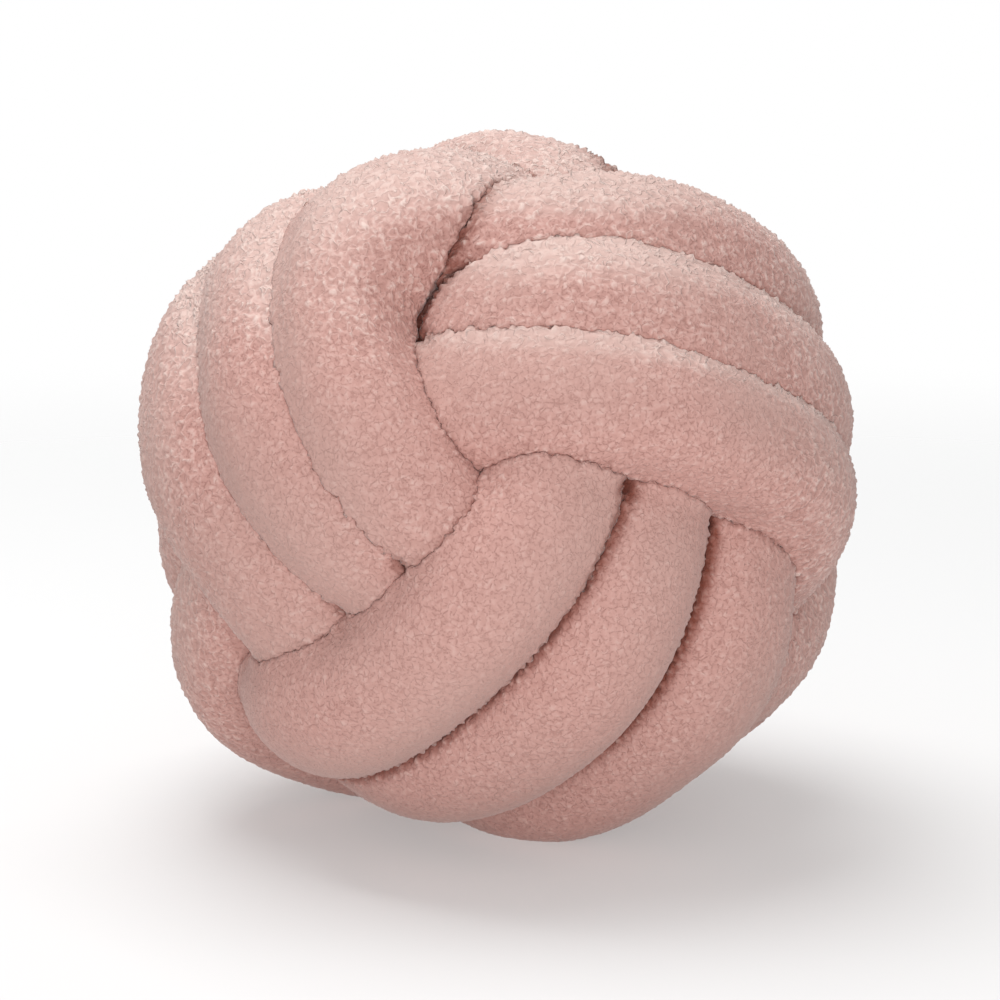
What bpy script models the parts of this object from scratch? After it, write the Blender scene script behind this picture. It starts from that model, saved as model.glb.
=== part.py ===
"""A knot cushion: one stuffed fleece tube wound into a ball of nine turns, three sets of three.

Each set of three turns lies over one of the other two and under the other, so that three strands
show on each of six faces, and the strands meet as a pinwheel at each of eight corners.
The cushion is one filled solid with the grooves between its turns, and stands on a small flat spot.
Sizes are in metres and angles in degrees. +Z is up and the front faces -Y.
"""

import math
from dataclasses import dataclass

import bmesh
import bpy
from mathutils import Matrix, Vector

# How the ball lies: one corner faces the front, a little above level, rolled about its own direction.
CORNER_RISE = 15.0
CORNER_ROLL = 36.0
FLAT_DEPTH = 0.005

# The tube. Under another set it is pressed flatter and lies nearer to the middle of the ball.
HIDDEN_REACH = 0.092
HIDDEN_HALF_DEPTH = 0.020
HIDDEN_HALF_WIDTH = 0.030
PRESSED_FROM = 40.0
PRESSED_BY = 90.0
WINDING_POWER = 2.5
SECTION_POWER = 2.2
FILL_RADIUS = 0.121

# The mesh is finer where the tube shows than where it is buried.
STATIONS = 68
SIDES = 18
STATION_CROWDING = 0.25
SIDE_CROWDING = 0.35
FILL_SUBDIVISIONS = 3
GROOVE_ANGLE = 35.0

FLEECE_COLOUR = (0.63, 0.37, 0.33, 1.0)
FLEECE_ROUGHNESS = 0.95


@dataclass(frozen=True)
class Turn:
    """One turn of the tube.

    Its tilts are angles off the middle of its set, where it shows in front and at the back. The bow
    adds to them where it hides, and the lean turns the whole turn about the axis it shows along.
    The reach is from the middle of the ball to the middle of the tube.
    """

    winding: str
    place: str
    front_tilt: float
    back_tilt: float
    bow: float
    lean: float
    reach: float
    radius: float


# For each set of turns, which knot axis it is wound about, which it shows along and which it hides along.
WINDINGS = {"left": (0, 1, 2), "lower": (1, 2, 0), "upper": (2, 0, 1)}

TURNS = (
    #     winding  place     front  back  bow  lean  reach  radius
    Turn("left", "inner", 21, 18, 12, -12, 0.127, 0.031),
    Turn("left", "middle", 2, 0, 9, 0, 0.126, 0.030),
    Turn("left", "outer", -18, -27, 15, -5, 0.128, 0.030),
    Turn("lower", "inner", 25, 16, -5, 2, 0.127, 0.030),
    Turn("lower", "middle", 0, 0, 10, 0, 0.120, 0.030),
    Turn("lower", "outer", -30, -25, 16, 0, 0.123, 0.031),
    Turn("upper", "inner", 25, 20, -6, 4, 0.133, 0.029),
    Turn("upper", "middle", 8, -5, -6, 4, 0.127, 0.030),
    Turn("upper", "outer", -11, -33, -3, 9, 0.127, 0.030),
)


def clear_scene():
    for thing in list(bpy.data.objects):
        bpy.data.objects.remove(thing)


def knot_axes():
    """The three axes of the knot, at right angles, all leaning equally towards the front corner."""
    level = Matrix.Rotation(math.radians(90.0 - CORNER_RISE), 3, "X")
    spread, rise = math.sqrt(2.0 / 3.0), math.sqrt(1.0 / 3.0)
    axes = []
    for third in range(3):
        around = math.radians(CORNER_ROLL + 120.0 * third)
        axes.append(level @ Vector((spread * math.cos(around), spread * math.sin(around), rise)))
    return axes


def turn_axes(turn, axes):
    """The axes that a turn is wound about, shows along and hides along, leant over as it lies."""
    about, shown, hidden = (axes[index] for index in WINDINGS[turn.winding])
    lean = Matrix.Rotation(math.radians(turn.lean), 3, shown)
    return lean @ about, shown, lean @ hidden


def eased(share):
    share = min(max(share, 0.0), 1.0)
    return share * share * (3.0 - 2.0 * share)


def rounded(out, side, power):
    """How far a squared round of half width 1 reaches in the direction (out, side)."""
    return (abs(out) ** power + abs(side) ** power) ** (-1.0 / power)


def station(turn, about, shown, hidden, angle):
    """The tube's middle, its outward direction, half depth and half width at an angle round the turn."""
    along, across = math.cos(angle), math.sin(angle)
    front = (1.0 + along) / 2.0
    tilt = turn.front_tilt * front + turn.back_tilt * (1.0 - front) + turn.bow * across**2
    tilt = math.radians(tilt)
    outward = math.cos(tilt) * (along * shown + across * hidden) + math.sin(tilt) * about
    reach = rounded(along / turn.reach, across / HIDDEN_REACH, WINDING_POWER)
    buried = math.degrees(math.atan2(abs(across), abs(along)))
    pressed = eased((buried - PRESSED_FROM) / (PRESSED_BY - PRESSED_FROM))
    half_depth = turn.radius + (HIDDEN_HALF_DEPTH - turn.radius) * pressed
    half_width = turn.radius + (HIDDEN_HALF_WIDTH - turn.radius) * pressed
    return reach * outward, outward, half_depth, half_width


def section(shape, middle, out, side, half_depth, half_width):
    """The points round the tube at one station, closest together on its outward side."""
    ring = []
    for step in range(SIDES):
        even = 2.0 * math.pi * step / SIDES
        around = even - SIDE_CROWDING * math.sin(even)
        outwards, sideways = math.cos(around), math.sin(around)
        swell = rounded(outwards, sideways, SECTION_POWER)
        offset = half_depth * outwards * out + half_width * sideways * side
        ring.append(shape.verts.new(middle + swell * offset))
    return ring


def turn_mesh(turn, axes):
    """The closed tube of one turn."""
    about, shown, hidden = turn_axes(turn, axes)
    stations = []
    for step in range(STATIONS):
        even = 2.0 * math.pi * step / STATIONS
        angle = even - STATION_CROWDING * math.sin(2.0 * even) / 2.0
        stations.append(station(turn, about, shown, hidden, angle))
    shape = bmesh.new()
    rings = []
    for index, (middle, outward, half_depth, half_width) in enumerate(stations):
        ahead = (stations[(index + 1) % STATIONS][0] - stations[index - 1][0]).normalized()
        out = (outward - outward.dot(ahead) * ahead).normalized()
        rings.append(section(shape, middle, out, ahead.cross(out), half_depth, half_width))
    for index, ring in enumerate(rings):
        after = rings[(index + 1) % STATIONS]
        for step in range(SIDES):
            beside = (step + 1) % SIDES
            shape.faces.new((ring[step], after[step], after[beside], ring[beside]))
    bmesh.ops.recalc_face_normals(shape, faces=shape.faces)
    return as_mesh(shape, f"{turn.winding}_{turn.place}_turn")


def as_mesh(shape, name):
    mesh = bpy.data.meshes.new(name)
    shape.to_mesh(mesh)
    shape.free()
    return mesh


def fill_mesh():
    """The stuffing between the turns, so that the ball has no hollow inside."""
    shape = bmesh.new()
    bmesh.ops.create_icosphere(shape, subdivisions=FILL_SUBDIVISIONS, radius=FILL_RADIUS)
    return as_mesh(shape, "fill")


def ground_mesh():
    """A block whose top is at height 0, wider than the ball."""
    shape = bmesh.new()
    size = 6.0 * FILL_RADIUS
    bmesh.ops.create_cube(shape, size=size)
    bmesh.ops.translate(shape, verts=shape.verts, vec=(0.0, 0.0, -size / 2.0))
    return as_mesh(shape, "ground")


def guide(mesh, collection):
    """A shape that the cushion is joined from or cut by, left out of a render."""
    thing = bpy.data.objects.new(mesh.name, mesh)
    thing.hide_render = True
    thing.display_type = "WIRE"
    collection.objects.link(thing)
    return thing


def ball_centre(meshes):
    """Where the knot's middle goes, so that its box is centred and its flat spot is at height 0."""
    points = [vertex.co for mesh in meshes for vertex in mesh.vertices]
    lowest = Vector(min(point[axis] for point in points) for axis in range(3))
    highest = Vector(max(point[axis] for point in points) for axis in range(3))
    middle = (lowest + highest) / 2.0
    return Vector((-middle.x, -middle.y, -lowest.z - FLAT_DEPTH))


def joined_knot():
    """The nine turns and the stuffing as one solid, with its flat spot, and the guides that made it."""
    scene = bpy.context.scene.collection
    winding = bpy.data.collections.new("winding")
    scene.children.link(winding)
    axes = knot_axes()
    turns = [turn_mesh(turn, axes) for turn in TURNS]
    centre = ball_centre(turns)
    guides = [guide(mesh, winding) for mesh in turns]
    for turn in guides:
        turn.location = centre

    knot = bpy.data.objects.new("knotted_tube", fill_mesh())
    knot.location = centre
    scene.objects.link(knot)
    join = knot.modifiers.new("joined_turns", "BOOLEAN")
    join.operation = "UNION"
    join.solver = "EXACT"
    join.operand_type = "COLLECTION"
    join.collection = winding
    ground = guide(ground_mesh(), scene)
    flat = knot.modifiers.new("flat_spot", "BOOLEAN")
    flat.operation = "DIFFERENCE"
    flat.solver = "EXACT"
    flat.object = ground
    return knot, [*guides, ground]


def keep_joined(knot, guides):
    """Makes the joined shape the cushion's own mesh, smooth but for the grooves between its turns."""
    bpy.context.view_layer.update()
    graph = bpy.context.evaluated_depsgraph_get()
    whole = bpy.data.meshes.new_from_object(knot.evaluated_get(graph), depsgraph=graph)
    knot.modifiers.clear()
    knot.data = whole
    whole.name = knot.name
    whole.shade_smooth()
    whole.set_sharp_from_angle(angle=math.radians(GROOVE_ANGLE))
    for thing in guides:
        bpy.data.objects.remove(thing)


def fleece():
    material = bpy.data.materials.new("teddy_fleece")
    material.use_nodes = True
    shader = material.node_tree.nodes["Principled BSDF"]
    shader.inputs["Base Color"].default_value = FLEECE_COLOUR
    shader.inputs["Roughness"].default_value = FLEECE_ROUGHNESS
    shader.inputs["Metallic"].default_value = 0.0
    return material


clear_scene()
cushion, winding_guides = joined_knot()
keep_joined(cushion, winding_guides)
cushion.data.materials.clear()
cushion.data.materials.append(fleece())
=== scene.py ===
"""Looks of the knot cushion: nine turns of a stuffed tube in curly blush pink teddy fleece.

Each turn is a closed tube of its own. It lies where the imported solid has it, but for some nudges of a
few millimetres. It is pressed flat where it meets its neighbours, and carries the fleece's curls as real
relief, with the finest pile as bump. Sizes are in metres and angles in degrees unless a name or a
comment says otherwise.
"""

import logging
import math
from dataclasses import dataclass
from enum import Enum, IntEnum

import bmesh
import bpy
import numpy as np
from mathutils import Matrix, Vector


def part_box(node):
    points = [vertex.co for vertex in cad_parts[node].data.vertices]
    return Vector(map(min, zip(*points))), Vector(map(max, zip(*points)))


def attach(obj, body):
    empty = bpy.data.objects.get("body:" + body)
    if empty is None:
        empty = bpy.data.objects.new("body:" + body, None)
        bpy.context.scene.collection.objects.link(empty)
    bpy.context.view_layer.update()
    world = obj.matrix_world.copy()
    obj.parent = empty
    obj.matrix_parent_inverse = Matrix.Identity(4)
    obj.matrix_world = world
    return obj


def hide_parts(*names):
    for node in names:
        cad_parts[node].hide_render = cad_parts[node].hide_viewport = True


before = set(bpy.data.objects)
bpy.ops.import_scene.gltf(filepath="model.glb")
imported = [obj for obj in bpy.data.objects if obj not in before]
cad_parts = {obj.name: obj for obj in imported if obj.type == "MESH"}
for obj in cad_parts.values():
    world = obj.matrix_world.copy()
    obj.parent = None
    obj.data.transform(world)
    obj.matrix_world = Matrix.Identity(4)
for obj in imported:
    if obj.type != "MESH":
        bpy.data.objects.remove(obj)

logging.basicConfig(level=logging.INFO, format="%(message)s")
log = logging.getLogger("knot_cushion")

MM = 0.001
FAR = 9.0  # Further, in gauges or in curls, than any distance that is asked for.


class Winding(Enum):
    """Which knot axis a set of turns is wound about, shows along and hides along."""

    LEFT = (0, 1, 2)
    LOWER = (1, 2, 0)
    UPPER = (2, 0, 1)


class Salt(IntEnum):
    """Tells one noise from another. The curls and the swirls take three each, counted on from these."""

    PATCHES = 3
    LUMPS = 5
    CURLS = 19
    NAP = 23
    SWIRLS = 40
    WANDER = 61
    BROAD_WANDER = 67


def linear(colour: str) -> tuple[float, float, float, float]:
    """Turns an sRGB colour into the linear one that a shader takes.

    Args:
        colour: The colour as #RRGGBB.

    Returns:
        Red, green, blue and an alpha of 1.
    """
    shares = [int(colour[place : place + 2], 16) / 255.0 for place in (1, 3, 5)]
    red, green, blue = (
        share / 12.92 if share <= 0.04045 else ((share + 0.055) / 1.055) ** 2.4 for share in shares
    )
    return red, green, blue, 1.0


def eased(share: np.ndarray) -> np.ndarray:
    """Runs smoothly from 0 to 1 as the share does, and stays level outside that."""
    held = np.clip(share, 0.0, 1.0)
    return held * held * (3.0 - 2.0 * held)


def dots(first: np.ndarray, second: np.ndarray) -> np.ndarray:
    """The dot product of each row of the first with the same row of the second."""
    return np.einsum("ij,ij->i", first, second)


def lattice(cells: np.ndarray, salt: int) -> np.ndarray:
    """A fixed random number from 0 to 1 for each cell of a cubic lattice.

    Args:
        cells: Whole-numbered cell places, three to a row.
        salt: Tells one lattice from another.

    Returns:
        One number a row.
    """
    # Large odd numbers scatter the cells, so that neighbours have nothing in common.
    whole = cells.astype(np.int64)
    mixed = whole[..., 0] * 73856093 ^ whole[..., 1] * 19349663 ^ whole[..., 2] * 83492791
    mixed = (mixed ^ salt * 2654435761) & 0xFFFFFFFF
    mixed = ((mixed >> 15) ^ mixed) * 2246822519 & 0xFFFFFFFF
    mixed = ((mixed >> 13) ^ mixed) * 3266489917 & 0xFFFFFFFF
    mixed = (mixed >> 16) ^ mixed
    return (mixed & 0xFFFFFF) / float(0x1000000)


def drift(points: np.ndarray, size: float, salt: int) -> np.ndarray:
    """Smooth noise from -1 to 1.

    Args:
        points: Where, three numbers to a row.
        size: How far apart its highs and lows lie.
        salt: Tells one noise from another.

    Returns:
        One number a row.
    """
    scaled = points / size
    base = np.floor(scaled)
    share = eased(scaled - base)
    total = np.zeros(len(points))
    for corner in np.ndindex(2, 2, 2):
        weight = np.prod(np.where(corner, share, 1.0 - share), axis=1)
        total += weight * lattice(base + corner, salt)
    return 2.0 * total - 1.0


def curled(points: np.ndarray, size: float, salt: int) -> tuple[np.ndarray, np.ndarray]:
    """Splits space into round cells, as the pile is split into curls.

    Args:
        points: Where, three numbers to a row.
        size: How far apart the curls lie.
        salt: Tells one set of curls from another.

    Returns:
        How far each point is from the nearest curl's middle and from the next one's, in sizes.
    """
    margin = 0.15  # How far a curl's middle keeps from the walls of its cell.
    scaled = points / size
    base = np.floor(scaled)
    nearest = np.full(len(points), FAR)
    second = np.full(len(points), FAR)
    for step in np.ndindex(3, 3, 3):
        cell = base + np.array(step) - 1.0
        middle = np.stack([lattice(cell, salt + axis) for axis in range(3)], axis=1)
        gap = cell + margin + (1.0 - 2.0 * margin) * middle - scaled
        away = np.sqrt(dots(gap, gap))
        second = np.minimum(second, np.maximum(nearest, away))
        nearest = np.minimum(nearest, away)
    return nearest, second


@dataclass(frozen=True)
class Knot:
    """How the ball lies, and how the tube is pressed where one set of turns runs under another.

    One corner of the knot faces the front, a little above level, rolled about its own direction.
    """

    corner_rise: float = 15.0
    corner_roll: float = 36.0
    hidden_reach: float = 0.092
    hidden_half_depth: float = 0.020
    hidden_half_width: float = 0.030
    pressed_from: float = 40.0
    pressed_by: float = 90.0
    winding_power: float = 2.5
    section_power: float = 2.2

    def axes(self) -> list[Vector]:
        """The three axes of the knot.

        Returns:
            Directions at right angles, all leaning equally towards the front corner.
        """
        level = Matrix.Rotation(math.radians(90.0 - self.corner_rise), 3, "X")
        spread, rise = math.sqrt(2.0 / 3.0), math.sqrt(1.0 / 3.0)
        axes = []
        for third in range(3):
            around = math.radians(self.corner_roll + 120.0 * third)
            axes.append(level @ Vector((spread * math.cos(around), spread * math.sin(around), rise)))
        return axes


@dataclass(frozen=True)
class Turn:
    """One turn of the tube, with its angles and sizes as the solid has them.

    The tilts are angles off the middle of its set, in front and at the back. The bow adds to them
    where the turn hides, and the lean turns it about the axis it shows along. The reach is from the
    middle of the ball to the middle of the tube. The curl is how loose and high its pile stands. The
    plump and the slit are how far that pile fills the grooves beside the turns of its own set, and
    how deep the slit in them is. The cross is how deep the slit is where turns of two sets meet.
    The curl, plump, slit and cross are shares of what the pile and the creases have. The curl also sets how
    much painted top light the pile takes, and the slit and the cross how dark the painted shade in the
    creases is.
    """

    winding: Winding
    place: str
    front_tilt: float
    back_tilt: float
    bow: float
    lean: float
    reach: float
    radius: float
    curl: float
    plump: float
    slit: float
    cross: float

    @property
    def name(self) -> str:
        """The name of the piece."""
        return f"{self.winding.name.lower()}_{self.place}_turn"


TURNS = (
    #    winding        place     front  back  bow  lean  reach  radius curl plump slit cross
    Turn(Winding.LEFT, "inner", 21, 18, 12, -12, 0.127, 0.031, 1.15, 1.2, 0.1, 0.5),
    Turn(Winding.LEFT, "middle", 2, 0, 9, 0, 0.126, 0.030, 1.2, 1.2, 0.1, 0.3),
    Turn(Winding.LEFT, "outer", -18, -27, 15, -5, 0.128, 0.030, 1.3, 1.2, 0.1, 0.3),
    Turn(Winding.LOWER, "inner", 25, 16, -5, 2, 0.127, 0.030, 0.9, 1.3, 1.1, 0.15),
    Turn(Winding.LOWER, "middle", 0, 0, 10, 0, 0.120, 0.030, 0.9, 1.3, 1.2, 0.15),
    Turn(Winding.LOWER, "outer", -30, -25, 16, 0, 0.123, 0.031, 1.1, 0.9, 1.9, 0.5),
    Turn(Winding.UPPER, "inner", 25, 20, -6, 4, 0.133, 0.029, 1.15, 0.85, 0.1, 0.4),
    Turn(Winding.UPPER, "middle", 8, -5, -6, 4, 0.127, 0.030, 1.05, 0.85, 0.1, 2.2),
    Turn(Winding.UPPER, "outer", -11, -33, -3, 9, 0.127, 0.030, 1.0, 0.85, 0.1, 1.2),
)


@dataclass(frozen=True)
class Nudge:
    """Where a turn was pulled a little out of its even path when the knot was tied.

    The angle is where round the turn, 0 where it shows in front, and the spread is how far that
    reaches each way. The shift is across the strand, the lift is outwards, and the swell is added
    to half the strand's width. All three are in millimetres.
    """

    turn: str
    angle: float
    spread: float
    shift: float = 0.0
    lift: float = 0.0
    swell: float = 0.0


NUDGES = (
    #     turn                angle spread
    Nudge("left_inner_turn", -28, 18, shift=-4, lift=1, swell=12),
    Nudge("left_inner_turn", 3, 13, shift=2, swell=-2),
    Nudge("left_inner_turn", 18, 30, shift=-2, swell=-4),
    Nudge("left_inner_turn", 44, 12, shift=-2, swell=-2),
    Nudge("left_inner_turn", 148, 22, lift=-3),
    Nudge("left_middle_turn", -5, 20, shift=-4, swell=-1),
    Nudge("left_outer_turn", -5, 30, shift=-2, swell=3),
    Nudge("left_outer_turn", 28, 14, lift=-3),
    Nudge("left_outer_turn", 46, 16, shift=4, swell=5),
    Nudge("left_outer_turn", -62, 14, shift=3, swell=3),
    Nudge("lower_inner_turn", -40, 15, lift=3),
    Nudge("lower_inner_turn", -28, 15, shift=-4, lift=1, swell=3),
    Nudge("lower_inner_turn", 20, 30, shift=-0.5, swell=-1),
    Nudge("lower_inner_turn", 140, 25, shift=3),
    Nudge("lower_inner_turn", -146, 20, shift=-7, swell=4),
    Nudge("lower_middle_turn", 6, 22, shift=0.5, swell=1),
    Nudge("lower_outer_turn", 5, 25, shift=-1.5, lift=-2.5, swell=1.5),
    Nudge("lower_outer_turn", 26, 18, shift=4.5, swell=4.5),
    Nudge("upper_inner_turn", -50, 20, shift=-5, lift=2, swell=3),
    Nudge("upper_inner_turn", 5, 30, shift=-2.5, swell=-3),
    Nudge("upper_inner_turn", 50, 14, swell=4),
    Nudge("upper_inner_turn", 155, 20, lift=2.5),
    Nudge("upper_middle_turn", 5, 30, shift=-4, swell=2),
    Nudge("upper_middle_turn", 54, 15, lift=-8),
    Nudge("upper_outer_turn", 5, 15, lift=2),
    Nudge("upper_outer_turn", 36, 14, swell=-2),
    Nudge("upper_outer_turn", 60, 12, lift=-6),
    Nudge("upper_outer_turn", 137, 20, shift=6, swell=4),
)


@dataclass(frozen=True)
class Stations:
    """Where a turn's middle is at some angles round it, and its cross-section there."""

    middle: np.ndarray
    ahead: np.ndarray
    out: np.ndarray
    side: np.ndarray
    half_depth: np.ndarray
    half_width: np.ndarray
    pace: np.ndarray


class LaidTurn:
    """One turn as it lies about the knot's middle, looked up from evenly spaced stations."""

    STEPS = 1440
    GAUGE_TRIES = 2

    def __init__(self, turn: Turn, knot: Knot) -> None:
        """Works out the stations.

        Args:
            turn: The turn's angles and sizes.
            knot: How the ball lies.
        """
        self.turn = turn
        self.power = knot.section_power
        axes = knot.axes()
        about, shown, hidden = (axes[index] for index in turn.winding.value)
        lean = Matrix.Rotation(math.radians(turn.lean), 3, shown)
        self.shown = np.array(shown)
        self.hidden = np.array(lean @ hidden)
        self.about = np.array(lean @ about)
        self.table = self._stations(knot)

    def _stations(self, knot: Knot) -> np.ndarray:
        """The stations as one row each, the first repeated at the end.

        Args:
            knot: How the tube is pressed.

        Returns:
            The columns of Stations side by side.
        """
        turn = self.turn
        angle = 2.0 * np.pi * np.arange(self.STEPS) / self.STEPS
        along, across = np.cos(angle), np.sin(angle)
        front = (1.0 + along) / 2.0
        tilt = turn.front_tilt * front + turn.back_tilt * (1.0 - front) + turn.bow * across**2
        level, rise = np.cos(np.radians(tilt)), np.sin(np.radians(tilt))
        outward = np.outer(level * along, self.shown) + np.outer(level * across, self.hidden)
        outward += np.outer(rise, self.about)
        power = knot.winding_power
        reach = np.abs(along / turn.reach) ** power + np.abs(across / knot.hidden_reach) ** power
        middle = reach[:, None] ** (-1.0 / power) * outward
        buried = np.degrees(np.arctan2(np.abs(across), np.abs(along)))
        pressed = eased((buried - knot.pressed_from) / (knot.pressed_by - knot.pressed_from))
        half_depth = turn.radius + (knot.hidden_half_depth - turn.radius) * pressed
        half_width = turn.radius + (knot.hidden_half_width - turn.radius) * pressed
        ahead, out, side, _ = self._directions(middle, outward)
        for nudge in NUDGES:
            if nudge.turn == turn.name:
                off = (np.degrees(angle) - nudge.angle + 180.0) % 360.0 - 180.0
                share = np.exp(-((off / nudge.spread) ** 2)) * MM
                middle = middle + share[:, None] * (nudge.shift * side + nudge.lift * out)
                half_width = half_width + share * nudge.swell
        ahead, out, side, length = self._directions(middle, outward)
        pace = length * self.STEPS / (4.0 * np.pi)
        columns = (middle, ahead, out, side, half_depth[:, None], half_width[:, None], pace[:, None])
        table = np.hstack(columns)
        return np.vstack([table, table[:1]])

    @staticmethod
    def _directions(middle: np.ndarray, outward: np.ndarray) -> tuple[np.ndarray, ...]:
        """The directions of the strand at each station.

        Args:
            middle: The middle line's points.
            outward: Directions away from the ball's middle.

        Returns:
            Along the strand, out of the ball, across the strand, and the length of two steps.
        """
        ahead = np.roll(middle, -1, axis=0) - np.roll(middle, 1, axis=0)
        length = np.sqrt(dots(ahead, ahead))
        ahead = ahead / length[:, None]
        out = outward - dots(outward, ahead)[:, None] * ahead
        out /= np.sqrt(dots(out, out))[:, None]
        return ahead, out, np.cross(ahead, out), length

    def at(self, angle: np.ndarray) -> Stations:
        """The stations at some angles.

        Args:
            angle: How far round the turn, in radians.

        Returns:
            A station for each.
        """
        place = np.mod(angle / (2.0 * np.pi), 1.0) * self.STEPS
        before = np.minimum(place.astype(np.int64), self.STEPS - 1)
        share = (place - before)[:, None]
        rows = self.table[before] * (1.0 - share) + self.table[before + 1] * share
        columns = (rows[:, 0:3], rows[:, 3:6], rows[:, 6:9], rows[:, 9:12])
        return Stations(*columns, rows[:, 12], rows[:, 13], rows[:, 14])

    def skin(self, angle: np.ndarray, around: np.ndarray) -> tuple[np.ndarray, np.ndarray, np.ndarray]:
        """The tube's plain surface.

        Args:
            angle: How far round the turn, in radians.
            around: How far round the cross-section from its outward side, in radians.

        Returns:
            The points, the outward directions there, and the tube's middle at each.
        """
        here = self.at(angle)
        outwards, sideways = np.cos(around), np.sin(around)
        swell = (np.abs(outwards) ** self.power + np.abs(sideways) ** self.power) ** (-1.0 / self.power)
        depth = (swell * outwards)[:, None] * here.out
        width = (swell * sideways)[:, None] * here.side
        points = here.middle + here.half_depth[:, None] * depth + here.half_width[:, None] * width
        slopes = (
            np.sign(outwards) * np.abs(outwards) ** (self.power - 1.0) / here.half_depth,
            np.sign(sideways) * np.abs(sideways) ** (self.power - 1.0) / here.half_width,
        )
        facing = slopes[0][:, None] * here.out + slopes[1][:, None] * here.side
        facing /= np.sqrt(dots(facing, facing))[:, None]
        return points, facing, here.middle

    def gauge(self, points: np.ndarray) -> np.ndarray:
        """How far out of the tube points are.

        Args:
            points: The points.

        Returns:
            0 on the tube's middle line, 1 on its plain surface, and evenly more outside.
        """
        angle = np.arctan2(points @ self.hidden, points @ self.shown)
        for _ in range(self.GAUGE_TRIES):
            here = self.at(angle)
            angle = angle + dots(points - here.middle, here.ahead) / here.pace
        here = self.at(angle)
        gap = points - here.middle
        depth = np.abs(dots(gap, here.out)) / here.half_depth
        width = np.abs(dots(gap, here.side)) / here.half_width
        return (depth**self.power + width**self.power) ** (1.0 / self.power)


@dataclass(frozen=True)
class Pile:
    """The curls of the fleece, as relief on a turn's surface.

    The pile stands looser towards the top of the ball, and where a strand faces up, and lies smoother below.
    It is a little looser on the flanks of the ball and in patches, and ruffled beside a deep slit. Heights
    are over the middle of the knot. Where the pile stands loose, the fleece's colour is also paler, as a
    painted top light.
    """

    curl_size: float = 3.3 * MM
    curl_height: float = 1.6 * MM
    swirl_size: float = 4.0 * MM
    swirl: float = 1.2 * MM
    curl_rim: float = 0.75
    curl_middle: float = 0.55
    lump_size: float = 30.0 * MM
    lump: float = 0.3 * MM
    smooth_below: float = 48.0 * MM
    loose_above: float = 105.0 * MM
    least_loose: float = 0.22
    by_height: float = 0.35
    level_facing: float = 0.52
    up_facing: float = 0.92
    crown: float = 135.0 * MM
    crown_loose: float = 1.1
    ruffle: float = 1.2
    ruffle_from: float = 4.0 * MM
    loosest: float = 1.7
    flank: float = 0.35
    flank_from: float = 95.0 * MM
    flank_to: float = 135.0 * MM
    patch_size: float = 40.0 * MM
    patchy: float = 0.15
    level_loosest: float = 1.2
    level_range: float = 0.6
    nap_and_painted_sheen_size: float = 35.0 * MM
    nap_and_painted_sheen_wander: float = 0.3

    def height_share(self, points: np.ndarray) -> np.ndarray:
        """How high on the ball points are, from 0 where its pile is smoothest to 1 where it is loose."""
        return eased((points[:, 2] - self.smooth_below) / (self.loose_above - self.smooth_below))

    def looseness(self, points: np.ndarray, facing: np.ndarray, curl: float) -> np.ndarray:
        """How loose the pile stands at points of a turn with this curl.

        Args:
            points: The points.
            facing: The outward directions there.
            curl: The turn's own curl.

        Returns:
            How loose the pile stands, about 1 where it is curliest.
        """
        upward = eased((facing[:, 2] - self.level_facing) / (self.up_facing - self.level_facing))
        share = self.by_height * self.height_share(points) + (1.0 - self.by_height) * upward
        loose = curl * (self.least_loose + (1.0 - self.least_loose) * share)
        sideways = (np.abs(points[:, 0]) - self.flank_from) / (self.flank_to - self.flank_from)
        loose += self.flank * eased(sideways)
        crown = self.crown_loose * eased((points[:, 2] - self.loose_above) / (self.crown - self.loose_above))
        patches = 1.0 + self.patchy * drift(points, self.patch_size, Salt.PATCHES)
        return np.maximum(loose, crown) * patches

    def ruffled(self, apart: np.ndarray, slit: np.ndarray) -> np.ndarray:
        """How much looser the pile stands this far from a neighbour, beside a slit this deep."""
        return self.ruffle * slit * eased(1.0 - apart / self.ruffle_from)

    def nap(self, points: np.ndarray, around: np.ndarray) -> np.ndarray:
        """Runs round the tube from 0, on the side that the pile lies from, to 1, and so places the greyer
        flank: partly the way the pile lies, partly painted sheen.
        """
        wander = self.nap_and_painted_sheen_wander * drift(points, self.nap_and_painted_sheen_size, Salt.NAP)
        return eased(0.5 + 0.5 * np.sin(around) + wander)

    def relief(self, points: np.ndarray, loose: np.ndarray) -> tuple[np.ndarray, np.ndarray]:
        """The pile's height over the plain surface.

        Args:
            points: Points of the plain surface.
            loose: How loose the pile stands at each, about 1 where it is curliest.

        Returns:
            The height in metres, and the pile's own level from 0 in its pits to 1 at its tips.
        """
        swirls = [drift(points, self.swirl_size, Salt.SWIRLS + axis) for axis in range(3)]
        moved = points + self.swirl * np.stack(swirls, axis=1)
        middle, following = curled(moved, self.curl_size, Salt.CURLS)
        strand = eased((following - middle) / self.curl_rim)
        lumps = self.lump * drift(points, self.lump_size, Salt.LUMPS)
        height = loose * self.curl_height * (strand - self.curl_middle) + lumps
        level = 0.5 + np.minimum(loose, self.level_loosest) * self.level_range * (strand - 0.5)
        return height, np.clip(level, 0.0, 1.0)


@dataclass(frozen=True)
class Contact:
    """How points of a turn lie to its neighbours.

    Apart is how far they are from the surface between the two. The plump and the slit are as a turn
    has them, run over from those beside its own set to those across another.
    """

    apart: np.ndarray
    plump: np.ndarray
    slit: np.ndarray


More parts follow.
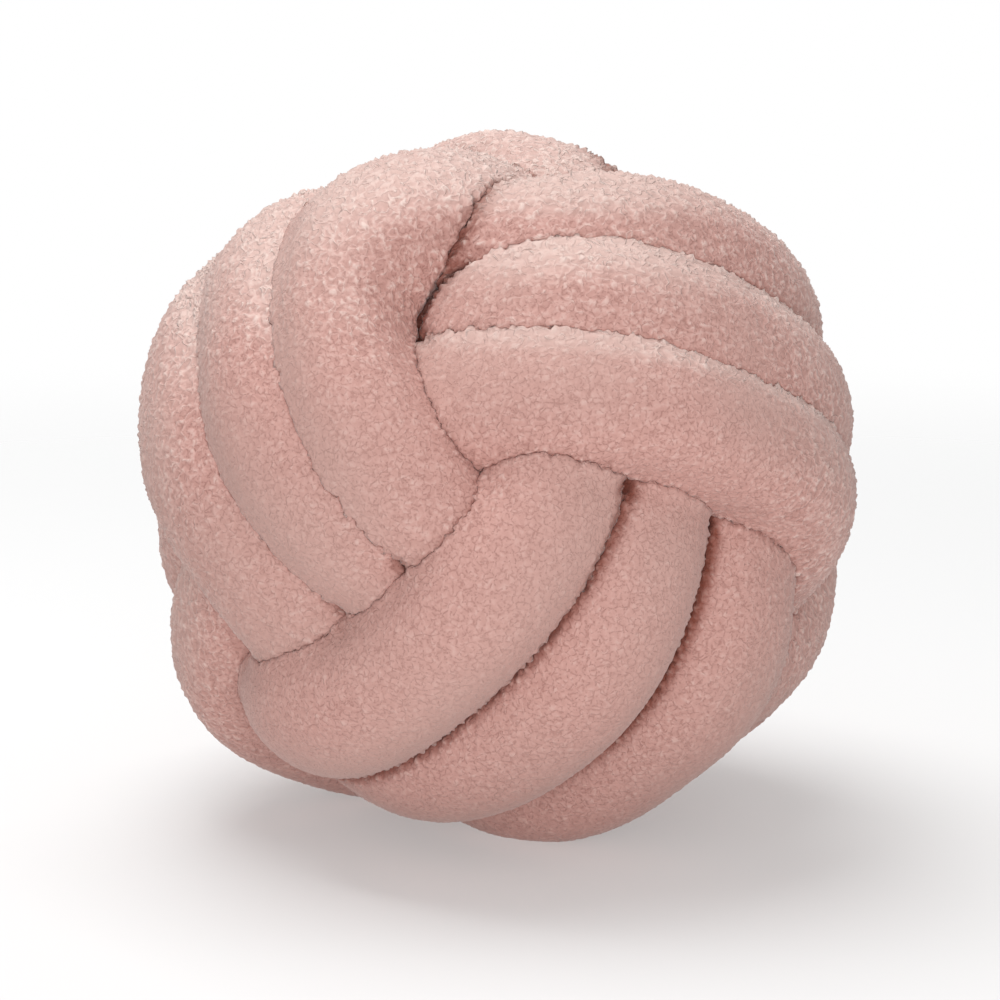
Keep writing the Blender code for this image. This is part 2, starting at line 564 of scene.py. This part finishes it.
@dataclass(frozen=True)
class Crease:
    """How neighbouring turns press together.

    Their pile fills the groove where they meet, but for a narrow slit that each rolls into. Past it
    each keeps to its own side of a middle surface, which wanders a little with the curls, but for the
    overlap, by which their pile runs together. A point is drawn no further in than the innermost, a
    share of its way out from the tube's middle. The reach is how far off a neighbour counts, in gauges.
    """

    fill_from: float = 8.5 * MM
    fill_height: float = 5.0 * MM
    fill_power: float = 4.0
    fill_across: float = 1.0
    least_plump: float = 0.55
    plump_above: float = 0.45
    corner_from: float = 7.0 * MM
    corner_slit: float = 1.0
    roll_from: float = 2.2 * MM
    roll_depth: float = 2.2 * MM
    overlap: float = 0.1 * MM
    wander: float = 2.2 * MM
    wander_size: float = 2.8 * MM
    broad_wander: float = 1.0 * MM
    broad_size: float = 7.5 * MM
    fade_from: float = 1.0 * MM
    fade_to: float = -2.5 * MM
    dark_from: float = 3.6 * MM
    set_blend: float = 0.4
    reach: float = 0.35
    innermost: float = 0.02
    halvings: int = 9

    def fill(self, contact: Contact) -> np.ndarray:
        """How far the pile rises into the groove beside a neighbour."""
        near = np.clip(1.0 - contact.apart / self.fill_from, 0.0, 1.0)
        return contact.plump * self.fill_height * near**self.fill_power

    def roll(self, contact: Contact) -> np.ndarray:
        """How far the surface rolls away into the slit."""
        near = np.clip(1.0 - contact.apart / self.roll_from, 0.0, 1.0)
        return contact.slit * near**2 * self.roll_depth

    def fade(self, contact: Contact) -> np.ndarray:
        """How much of the curls' relief is left, which fades where a turn is pressed or buried."""
        return eased((contact.apart - self.fade_to) / (self.fade_from - self.fade_to))

    def groove(self, contact: Contact) -> np.ndarray:
        """How deep in a slit's shade points are."""
        dark_from = self.dark_from * (0.5 + 0.5 * contact.slit)
        return contact.slit * eased(1.0 - contact.apart / dark_from)


class Ball:
    """The nine laid turns, and the room that each has among the others.

    TUBE is the radius by which gauges are turned to metres.
    """

    TUBE = 0.030
    BOX_STEPS = 90

    def __init__(self, knot: Knot, turns: tuple[Turn, ...], crease: Crease) -> None:
        """Lays the turns.

        Args:
            knot: How the ball lies.
            turns: The turns.
            crease: How they press together.
        """
        self.laid = [LaidTurn(turn, knot) for turn in turns]
        self.crease = crease
        self.middle = self._middle_in_frame()

    def _middle_in_frame(self) -> np.ndarray:
        """Where the knot's middle is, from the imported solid's box.

        Returns:
            The point that centres the turns in the box and brings them level with its top.
        """
        around = np.linspace(0.0, 2.0 * np.pi, self.BOX_STEPS, endpoint=False)
        angles, sides = (grid.ravel() for grid in np.meshgrid(around, around))
        points = np.vstack([laid.skin(angles, sides)[0] for laid in self.laid])
        lowest, highest = points.min(axis=0), points.max(axis=0)
        low, high = (np.array(corner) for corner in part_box("knotted_tube"))
        middle = (low + high) / 2.0 - (lowest + highest) / 2.0
        middle[2] = high[2] - highest[2]
        return middle

    def clearance(self, index: int, points: np.ndarray) -> tuple[np.ndarray, np.ndarray]:
        """How far points are from the other turns.

        Args:
            index: Which turn the points belong to.
            points: Its points.

        Returns:
            The smallest gauge less 1 of the turns of the same set, and of those that run across.
        """
        beside, across = np.full(len(points), FAR), np.full(len(points), FAR)
        for place, laid in enumerate(self.laid):
            if place != index:
                nearest = beside if laid.turn.winding is self.laid[index].turn.winding else across
                np.minimum(nearest, laid.gauge(points), out=nearest)
        return beside - 1.0, across - 1.0

    def contact(self, index: int, points: np.ndarray, height_share: np.ndarray) -> Contact:
        """How points lie to the neighbours of their turn.

        Args:
            index: Which turn the points belong to.
            points: Its points.
            height_share: How high on the ball each is, from 0 to 1.

        Returns:
            Their distances, and how full and slit the groove is there.
        """
        crease, turn = self.crease, self.laid[index].turn
        beside, across = self.clearance(index, points)
        apart = np.minimum(beside, across) * self.TUBE / 2.0
        same_set = eased(0.5 + (across - beside) / crease.set_blend)
        corner = same_set * eased(1.0 - across * self.TUBE / (2.0 * crease.corner_from))
        plump = crease.least_plump + crease.plump_above * height_share
        plump = turn.plump * plump * (1.0 - corner)
        full_across = crease.fill_across / (1.0 + turn.cross)
        plump = full_across + (plump - full_across) * same_set
        slit = turn.cross + (turn.slit - turn.cross) * same_set + crease.corner_slit * corner
        return Contact(apart, plump, slit)

    def kept_apart(self, index: int, points: np.ndarray, middles: np.ndarray) -> np.ndarray:
        """Draws points that are in a neighbour's room back to the surface between the two turns.

        Args:
            index: Which turn the points belong to.
            points: Its points.
            middles: The tube's middle at each.

        Returns:
            The points, moved towards their middles where needed.
        """
        crease = self.crease
        own = self.laid[index].gauge(points)
        limit = -crease.overlap / self.TUBE
        first = self._wander(points)
        gauges = {}
        tightest = np.full(len(points), FAR)
        for place, laid in enumerate(self.laid):
            if place != index:
                gauges[place] = laid.gauge(points)
                tightest = np.minimum(tightest, gauges[place] - math.copysign(1.0, place - index) * first)
        pressed = np.flatnonzero(tightest - own < limit)
        nearby = {
            place: np.flatnonzero(gauge[pressed] < 1.0 + crease.reach) for place, gauge in gauges.items()
        }
        low, high = np.full(len(pressed), crease.innermost), np.ones(len(pressed))
        start, reach = middles[pressed], points[pressed] - middles[pressed]
        for _ in range(crease.halvings):
            share = (low + high) / 2.0
            tried = start + share[:, None] * reach
            wander = self._wander(tried)
            room = np.full(len(pressed), FAR)
            for place, rows in nearby.items():
                sign = math.copysign(1.0, place - index)
                gauge = self.laid[place].gauge(tried[rows]) - sign * wander[rows]
                room[rows] = np.minimum(room[rows], gauge)
            free = room - share * own[pressed] >= limit
            low, high = np.where(free, share, low), np.where(free, high, share)
        kept = points.copy()
        kept[pressed] = start + low[:, None] * reach
        return kept

    def _wander(self, points: np.ndarray) -> np.ndarray:
        """How far the surface between two turns wanders.

        Args:
            points: Where.

        Returns:
            The distance at each point, in tube radii.
        """
        crease = self.crease
        fine = crease.wander * drift(points, crease.wander_size, Salt.WANDER)
        broad = crease.broad_wander * drift(points, crease.broad_size, Salt.BROAD_WANDER)
        return (fine + broad) / self.TUBE


@dataclass(frozen=True)
class TurnPiece:
    """A turn's mesh: a plain ring, refined where it shows and then laid along its turn.

    What is near to showing and what shows are told by how far a point is from the other turns, in
    gauges. Below 0 it is inside one of them.
    """

    stations: int = 112
    sides: int = 29
    near_show: float = -0.3
    shows: float = -0.12
    cuts: int = 2
    quick_cuts: int = 1
    ring_radius: float = 0.12
    tube_radius: float = 0.03

    def ring(self) -> bmesh.types.BMesh:
        """A plain ring of the tube, flat on the ground.

        Returns:
            The ring, closed and with its faces outwards.
        """
        shape = bmesh.new()
        bmesh.ops.create_circle(shape, cap_ends=False, radius=self.tube_radius, segments=self.sides)
        upright = Matrix.Rotation(math.radians(90.0), 3, "X")
        bmesh.ops.rotate(shape, verts=shape.verts, cent=(0.0, 0.0, 0.0), matrix=upright)
        bmesh.ops.translate(shape, verts=shape.verts, vec=(self.ring_radius, 0.0, 0.0))
        bmesh.ops.spin(
            shape,
            geom=list(shape.verts) + list(shape.edges),
            cent=(0.0, 0.0, 0.0),
            axis=(0.0, 0.0, 1.0),
            angle=2.0 * math.pi,
            steps=self.stations,
            use_merge=True,
            use_duplicate=False,
        )
        bmesh.ops.recalc_face_normals(shape, faces=shape.faces)
        return shape

    def places(self, shape: bmesh.types.BMesh) -> tuple[np.ndarray, np.ndarray]:
        """Where on the ring its vertices are.

        Args:
            shape: The ring.

        Returns:
            How far round the ring and round its cross-section each vertex is, in radians.
        """
        points = np.array([vertex.co[:] for vertex in shape.verts])
        angle = np.arctan2(points[:, 1], points[:, 0])
        away = np.hypot(points[:, 0], points[:, 1]) - self.ring_radius
        return angle, np.arctan2(points[:, 2], away)

    def refine(self, shape: bmesh.types.BMesh, shows: np.ndarray, cuts: int) -> None:
        """Cuts the faces that show into small ones.

        Args:
            shape: The ring.
            shows: Whether each vertex shows.
            cuts: How many cuts across each face.
        """
        edges = set()
        for face in shape.faces:
            if any(shows[vertex.index] for vertex in face.verts):
                edges.update(face.edges)
        bmesh.ops.subdivide_edges(shape, edges=list(edges), cuts=cuts, use_grid_fill=True)
        shape.verts.index_update()

    def refined_ring(self, ball: Ball, index: int) -> bmesh.types.BMesh:
        """The ring of one turn, with small faces where it shows.

        Args:
            ball: The laid turns.
            index: Which of them.

        Returns:
            The ring.
        """
        shape = self.ring()
        shape.verts.index_update()
        finest = self.cuts
        for edge, cuts in ((self.near_show, 1), (self.shows, finest)):
            points = ball.laid[index].skin(*self.places(shape))[0]
            clearance = np.minimum(*ball.clearance(index, points))
            self.refine(shape, clearance > edge, cuts)
        return shape

    def build(self, ball: Ball, index: int, pile: Pile) -> bpy.types.Object:
        """Makes one turn.

        Args:
            ball: The laid turns.
            index: Which of them.
            pile: The fleece's curls.

        Returns:
            The piece, in its place.
        """
        laid, crease = ball.laid[index], ball.crease
        shape = self.refined_ring(ball, index)
        angle, around = self.places(shape)
        points, facing, middles = laid.skin(angle, around)
        contact = ball.contact(index, points, pile.height_share(points))
        loose = pile.looseness(points, facing, laid.turn.curl)
        ruffled = np.minimum(loose + pile.ruffled(contact.apart, contact.slit), pile.loosest)
        height, level = pile.relief(points, ruffled)
        nap = pile.nap(points, around)
        rise = height * crease.fade(contact) + crease.fill(contact) - crease.roll(contact)
        points += rise[:, None] * facing
        points = ball.kept_apart(index, points, middles) + ball.middle
        points[:, 2] = np.maximum(points[:, 2], 0.0)

        mesh = bpy.data.meshes.new(laid.turn.name)
        shape.to_mesh(mesh)
        shape.free()
        mesh.vertices.foreach_set("co", points.astype(np.float32).ravel())
        # The pile level, looseness, flank side and groove also paint light into the colour: shade in the
        # pits and grooves, highlight on the tips, sheen on one flank and top light on loose pile.
        measures = {"pile": level, "loose": loose, "nap": nap, "groove": crease.groove(contact)}
        for name, values in measures.items():
            layer = mesh.attributes.new(name, "FLOAT", "POINT")
            layer.data.foreach_set("value", values.astype(np.float32))
        mesh.shade_smooth()
        mesh.update()
        piece = bpy.data.objects.new(laid.turn.name, mesh)
        bpy.context.scene.collection.objects.link(piece)
        return piece


def add_node(
    tree: bpy.types.NodeTree,
    kind: str,
    settings: dict[str, str] | None = None,
    inputs: dict[str | int, object] | None = None,
) -> bpy.types.Node:
    """Adds a node to a material.

    Args:
        tree: The material's nodes.
        kind: The node's Blender type.
        settings: Its own settings.
        inputs: The value of each input, or what it is linked from.

    Returns:
        The node.
    """
    node = tree.nodes.new(kind)
    for name, value in (settings or {}).items():
        setattr(node, name, value)
    for place, value in (inputs or {}).items():
        if isinstance(value, bpy.types.NodeSocket):
            tree.links.new(value, node.inputs[place])
        else:
            node.inputs[place].default_value = value
    return node


@dataclass(frozen=True)
class TeddyFleece:
    """Polyester teddy fleece, knitted and tumbled so that its pile curls.

    To the eye it is matt and soft: pale curls over rosier gaps where the pile is loose, fine cracks between
    its tufts where it lies smooth, greyer on one flank of each strand, with a milky bloom where the surface
    turns away, and deep rose brown creases. Much of this is painted light in the base colour: the gaps and
    cracks are darker partly as painted shade, the tips paler partly as painted highlight, the greyer flank
    is partly the pile's lie and partly painted sheen, and the creases are painted shade.

    The pattern's sizes are those of real fleece, and its reliefs are in millimetres. A tint is how far a
    part of the pattern moves the colour from the gaps' towards the tips', which paints shade into the pits
    and cracks and highlight onto the tips. Pile that is looser than painted_top_light_from is paler, up to
    painted_top_light_by: a painted top light on pile that faces up and stands high on the ball.
    """

    # Painted shade and highlight, partly the pile's own tone: the gap colour darkens the pits, the tip
    # colour lightens the curls' tips.
    tip: str = "#EDD5CC"
    body: str = "#CFA198"
    gap: str = "#A6766D"
    tip_level: float = 1.0
    body_level: float = 0.55
    gap_level: float = 0.1
    # Painted sheen, partly the pile's lie: the greyer colour laid on one flank of each strand.
    nap_and_painted_sheen: str = "#C8A59C"
    nap_and_painted_sheen_share: float = 0.6
    # Painted top light: the paler colour laid on pile that faces up and stands high on the ball.
    painted_top_light: str = "#E8CFC6"
    painted_top_light_share: float = 0.6
    painted_top_light_from: float = 0.5
    painted_top_light_by: float = 1.15
    # Painted shade: the dark colour laid in the creases between turns.
    crease: str = "#803822"
    painted_crease_shade_share: float = 0.75
    painted_crease_shade_by: float = 1.6
    bloom: str = "#FFF6F2"
    roughness: float = 0.9
    gloss: float = 0.2
    sheen: float = 0.3
    sheen_roughness: float = 0.3
    fuzz_size: float = 1.3 * MM
    fuzz_range: tuple[float, float] = (0.3, 0.7)
    fuzz_relief: float = 0.06
    fuzz_tint: float = 0.06
    strand_size: float = 3.8 * MM
    strand_width: float = 0.16
    strand_relief: float = 0.42
    strand_tint: float = 0.44
    tuft_size: float = 2.7 * MM
    wavering: float = 2.4 * MM
    crack_width: float = 0.19
    crack_by_fuzz: tuple[float, float] = (0.42, 0.6)
    crack_by_loose: tuple[float, float] = (1.1, 0.4)
    crack_relief: float = 0.2
    crack_tint: float = 0.24

    def material(self) -> bpy.types.Material:
        """The fleece's material.

        Returns:
            The material, for all pieces.
        """
        material = bpy.data.materials.new("polyester_teddy_fleece")
        material.use_nodes = True
        tree = material.node_tree
        shader = tree.nodes["Principled BSDF"]
        pattern = self._pattern(tree)
        height = 0.0
        for part, relief in zip(pattern, (self.fuzz_relief, self.strand_relief, -self.crack_relief)):
            height = add_node(
                tree, "ShaderNodeMath", {"operation": "MULTIPLY_ADD"}, {0: part, 1: relief, 2: height}
            ).outputs["Value"]
        bump = add_node(tree, "ShaderNodeBump", inputs={"Strength": 1.0, "Distance": MM, "Height": height})
        tree.links.new(bump.outputs["Normal"], shader.inputs["Normal"])
        tree.links.new(self._colour(tree, pattern), shader.inputs["Base Color"])
        shader.inputs["Roughness"].default_value = self.roughness
        shader.inputs["Specular IOR Level"].default_value = self.gloss
        shader.inputs["Sheen Weight"].default_value = self.sheen
        shader.inputs["Sheen Roughness"].default_value = self.sheen_roughness
        shader.inputs["Sheen Tint"].default_value = linear(self.bloom)
        return material

    def _pattern(self, tree: bpy.types.NodeTree) -> list[bpy.types.NodeSocket]:
        """The pile's pattern at its real size.

        Args:
            tree: The material's nodes.

        Returns:
            The finest pile from 0 to 1, the curled strands from 0 to how loose they are, and the
            cracks between tufts from 0 to 1.
        """
        place = add_node(tree, "ShaderNodeTexCoord").outputs["Object"]
        loose = add_node(tree, "ShaderNodeAttribute", {"attribute_name": "loose"}).outputs["Fac"]
        fine = add_node(
            tree,
            "ShaderNodeTexNoise",
            inputs={
                "Vector": place,
                "Scale": 1.0 / self.fuzz_size,
                "Detail": 1.0,
                "Roughness": 0.5,
                "Distortion": 1.0,
            },
        ).outputs["Fac"]
        wave = add_node(
            tree,
            "ShaderNodeTexNoise",
            inputs={
                "Vector": place,
                "Scale": 1.0 / self.strand_size,
                "Detail": 0.5,
                "Roughness": 0.5,
                "Distortion": 0.6,
            },
        )
        off = add_node(tree, "ShaderNodeMath", {"operation": "SUBTRACT"}, {0: wave.outputs["Fac"], 1: 0.5})
        away = add_node(tree, "ShaderNodeMath", {"operation": "ABSOLUTE"}, {0: off.outputs["Value"]})
        moved = add_node(
            tree,
            "ShaderNodeVectorMath",
            {"operation": "MULTIPLY_ADD"},
            {0: wave.outputs["Color"], 1: (self.wavering,) * 3, 2: place},
        )
        edge = add_node(
            tree,
            "ShaderNodeTexVoronoi",
            {"feature": "DISTANCE_TO_EDGE"},
            {"Vector": moved.outputs["Vector"], "Scale": 1.0 / self.tuft_size},
        )
        # Each value, and what it is where the share taken from it is 0 and 1.
        ranges = (
            (fine, *self.fuzz_range),
            (away.outputs["Value"], self.strand_width, 0.0),
            (edge.outputs["Distance"], self.crack_width, 0.0),
            (fine, *self.crack_by_fuzz),
            (loose, *self.crack_by_loose),
        )
        fuzz, strand, crack, *crack_shares = (
            add_node(
                tree,
                "ShaderNodeMapRange",
                {"interpolation_type": "SMOOTHSTEP"},
                {"Value": value, "From Min": none, "From Max": full},
            ).outputs["Result"]
            for value, none, full in ranges
        )
        strand = add_node(tree, "ShaderNodeMath", {"operation": "MULTIPLY"}, {0: strand, 1: loose})
        for share in crack_shares:
            crack = add_node(
                tree, "ShaderNodeMath", {"operation": "MULTIPLY"}, {0: crack, 1: share}
            ).outputs["Value"]
        return [fuzz, strand.outputs["Value"], crack]

    def _colour(self, tree: bpy.types.NodeTree, pattern: list[bpy.types.NodeSocket]) -> bpy.types.NodeSocket:
        """The pile's colour, from its level, the way it lies, how loose it is and its creases, all partly
        painted light: painted shade in the pits and creases, painted highlight on the tips, painted sheen on
        one flank and painted top light on the upward-facing loose pile.

        Args:
            tree: The material's nodes.
            pattern: The finest pile, the curled strands and the cracks.

        Returns:
            The colour.
        """
        level, nap, groove, loose = (
            add_node(tree, "ShaderNodeAttribute", {"attribute_name": name}).outputs["Fac"]
            for name in ("pile", "nap", "groove", "loose")
        )
        # The tints paint shade into the cracks and highlight onto the tips of the curls and fuzz.
        for part, tint in zip(pattern, (self.fuzz_tint, self.strand_tint, -self.crack_tint)):
            level = add_node(
                tree, "ShaderNodeMath", {"operation": "MULTIPLY_ADD"}, {0: part, 1: tint, 2: level}
            ).outputs["Value"]
        # The ramp paints shade into the pits and highlight onto the tips.
        ramp = add_node(tree, "ShaderNodeValToRGB", inputs={"Fac": level})
        gap, tip = ramp.color_ramp.elements
        gap.position, gap.color = self.gap_level, linear(self.gap)
        tip.position, tip.color = self.tip_level, linear(self.tip)
        ramp.color_ramp.elements.new(self.body_level).color = linear(self.body)
        # Painted sheen, partly the pile's lie: greyer on one flank of each strand.
        nap_and_painted_sheen = add_node(
            tree, "ShaderNodeMapRange", inputs={"Value": nap, "To Max": self.nap_and_painted_sheen_share}
        )
        # Painted top light: paler where the pile faces up and stands high on the ball.
        painted_top_light = add_node(
            tree,
            "ShaderNodeMapRange",
            inputs={
                "Value": loose,
                "From Min": self.painted_top_light_from,
                "From Max": self.painted_top_light_by,
                "To Max": self.painted_top_light_share,
            },
        )
        # Painted shade in the creases, darkest deep in a slit.
        painted_crease_shade = add_node(
            tree,
            "ShaderNodeMapRange",
            {"interpolation_type": "SMOOTHSTEP"},
            {"Value": groove, "From Max": self.painted_crease_shade_by, "To Max": self.painted_crease_shade_share},
        )
        colour = ramp.outputs["Color"]
        # Lays the painted sheen, the painted top light and the painted crease shade over the ramp.
        for share, laid_on in ((nap_and_painted_sheen, self.nap_and_painted_sheen), (painted_top_light, self.painted_top_light), (painted_crease_shade, self.crease)):
            colour = add_node(
                tree,
                "ShaderNodeMix",
                {"data_type": "RGBA"},
                {"Factor": share.outputs["Result"], "A": colour, "B": linear(laid_on)},
            ).outputs["Result"]
        return colour


@dataclass(frozen=True)
class Softbox:
    """A square soft light: where it is, how wide, and its power in watts."""

    name: str
    place: tuple[float, float, float]
    size: float
    power: float

    def hang(self, aim: Vector) -> None:
        """Puts the light in its place.

        Args:
            aim: What it points at.
        """
        lamp = bpy.data.lights.new(self.name, "AREA")
        lamp.size = self.size
        lamp.energy = self.power
        light = bpy.data.objects.new(self.name, lamp)
        light.location = self.place
        light.rotation_euler = (aim - Vector(self.place)).to_track_quat("-Z", "Y").to_euler()
        bpy.context.scene.collection.objects.link(light)


SOFTBOXES = (
    Softbox("top_softbox", (-0.33, 0.3, 1.9), 1.4, 29.3),
    Softbox("front_softbox", (-0.1, -2.6, 0.3), 1.8, 19.6),
    Softbox("low_softbox", (0.1, -1.5, 0.12), 0.6, 5.4),
)


@dataclass(frozen=True)
class Studio:
    """A pale floor that fades into a white backdrop, soft light, and the photograph's camera.

    The sky lights the cushion at its own strength, and is plain white behind it.
    """

    floor_radius: float = 1.6
    floor_sides: int = 96
    fade_from: float = 0.45
    fade_to: float = 1.5
    solidity: float = 0.7
    camera_distance: float = 1.3
    camera_rise: float = 10.0
    sensor_width: float = 36.0
    image_pixels: float = 1000.0
    focal_pixels: float = 3068.0
    centre_x: float = 499.0
    centre_y: float = 484.0
    paper: str = "#F4F4F4"
    paper_roughness: float = 0.9
    sky: str = "#FFFFFF"
    sky_strength: float = 0.415

    def floor(self) -> bpy.types.Object:
        """The floor, a round sheet of paper that is fainter away from the cushion.

        Returns:
            The floor.
        """
        shape = bmesh.new()
        bmesh.ops.create_circle(shape, cap_ends=True, radius=self.floor_radius, segments=self.floor_sides)
        mesh = bpy.data.meshes.new("paper_floor")
        shape.to_mesh(mesh)
        shape.free()
        mesh.materials.append(self.paper_material())
        floor = bpy.data.objects.new("paper_floor", mesh)
        bpy.context.scene.collection.objects.link(floor)
        return floor

    def paper_material(self) -> bpy.types.Material:
        """Matt white paper that lets the backdrop through, most of all towards its rim.

        Returns:
            The material.
        """
        paper = bpy.data.materials.new("matt_white_paper")
        paper.use_nodes = True
        tree = paper.node_tree
        shader = tree.nodes["Principled BSDF"]
        shader.inputs["Base Color"].default_value = linear(self.paper)
        shader.inputs["Roughness"].default_value = self.paper_roughness
        place = add_node(tree, "ShaderNodeTexCoord").outputs["Object"]
        away = add_node(tree, "ShaderNodeVectorMath", {"operation": "LENGTH"}, {"Vector": place})
        solid = add_node(
            tree,
            "ShaderNodeMapRange",
            {"interpolation_type": "SMOOTHSTEP"},
            {
                "Value": away.outputs["Value"],
                "From Min": self.fade_to,
                "From Max": self.fade_from,
                "To Max": self.solidity,
            },
        )
        tree.links.new(solid.outputs["Result"], shader.inputs["Alpha"])
        return paper

    def sky_light(self) -> None:
        """Even light from all round, in front of a white backdrop."""
        world = bpy.data.worlds.new("studio_sky")
        world.use_nodes = True
        tree = world.node_tree
        background = tree.nodes["Background"]
        background.inputs["Color"].default_value = linear(self.sky)
        seen = add_node(tree, "ShaderNodeLightPath").outputs["Is Camera Ray"]
        strength = add_node(
            tree, "ShaderNodeMapRange", inputs={"Value": seen, "To Min": self.sky_strength, "To Max": 1.0}
        )
        tree.links.new(strength.outputs["Result"], background.inputs["Strength"])
        bpy.context.scene.world = world

    def camera(self, aim: Vector) -> None:
        """Puts the camera at the photograph's angle.

        Args:
            aim: The middle of the knot.
        """
        lens = bpy.data.cameras.new("photo_camera")
        lens.sensor_width = self.sensor_width
        lens.lens = self.sensor_width * self.focal_pixels / self.image_pixels
        lens.shift_x = (self.image_pixels / 2.0 - self.centre_x) / self.image_pixels
        lens.shift_y = (self.centre_y - self.image_pixels / 2.0) / self.image_pixels
        rise = math.radians(self.camera_rise)
        back = Vector((0.0, -math.cos(rise), math.sin(rise)))
        camera = bpy.data.objects.new("photo_camera", lens)
        camera.location = aim + self.camera_distance * back
        camera.rotation_euler = (-back).to_track_quat("-Z", "Y").to_euler()
        bpy.context.scene.collection.objects.link(camera)
        bpy.context.scene.camera = camera

    def set_up(self, aim: Vector) -> None:
        """Builds the floor, lights and camera.

        Args:
            aim: The middle of the knot.
        """
        self.floor()
        self.sky_light()
        for softbox in SOFTBOXES:
            softbox.hang(aim)
        self.camera(aim)
        bpy.context.scene.view_settings.view_transform = "Standard"
        bpy.context.scene.view_settings.look = "None"


def main() -> None:
    """Builds the cushion and the studio round it."""
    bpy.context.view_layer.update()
    ball = Ball(Knot(), TURNS, Crease())
    fleece = TeddyFleece().material()
    pile = Pile()
    maker = TurnPiece()
    total = 0
    for index, turn in enumerate(TURNS):
        piece = maker.build(ball, index, pile)
        piece.data.materials.append(fleece)
        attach(piece, "root")
        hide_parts("knotted_tube")
        piece.data.calc_loop_triangles()
        total += len(piece.data.loop_triangles)
        log.info("%s: %d triangles", piece.name, len(piece.data.loop_triangles))
    Studio().set_up(Vector(ball.middle))
    log.info("%d triangles in all, middle of the knot at %s", total, ball.middle)


if __name__ == "__main__":
    main()
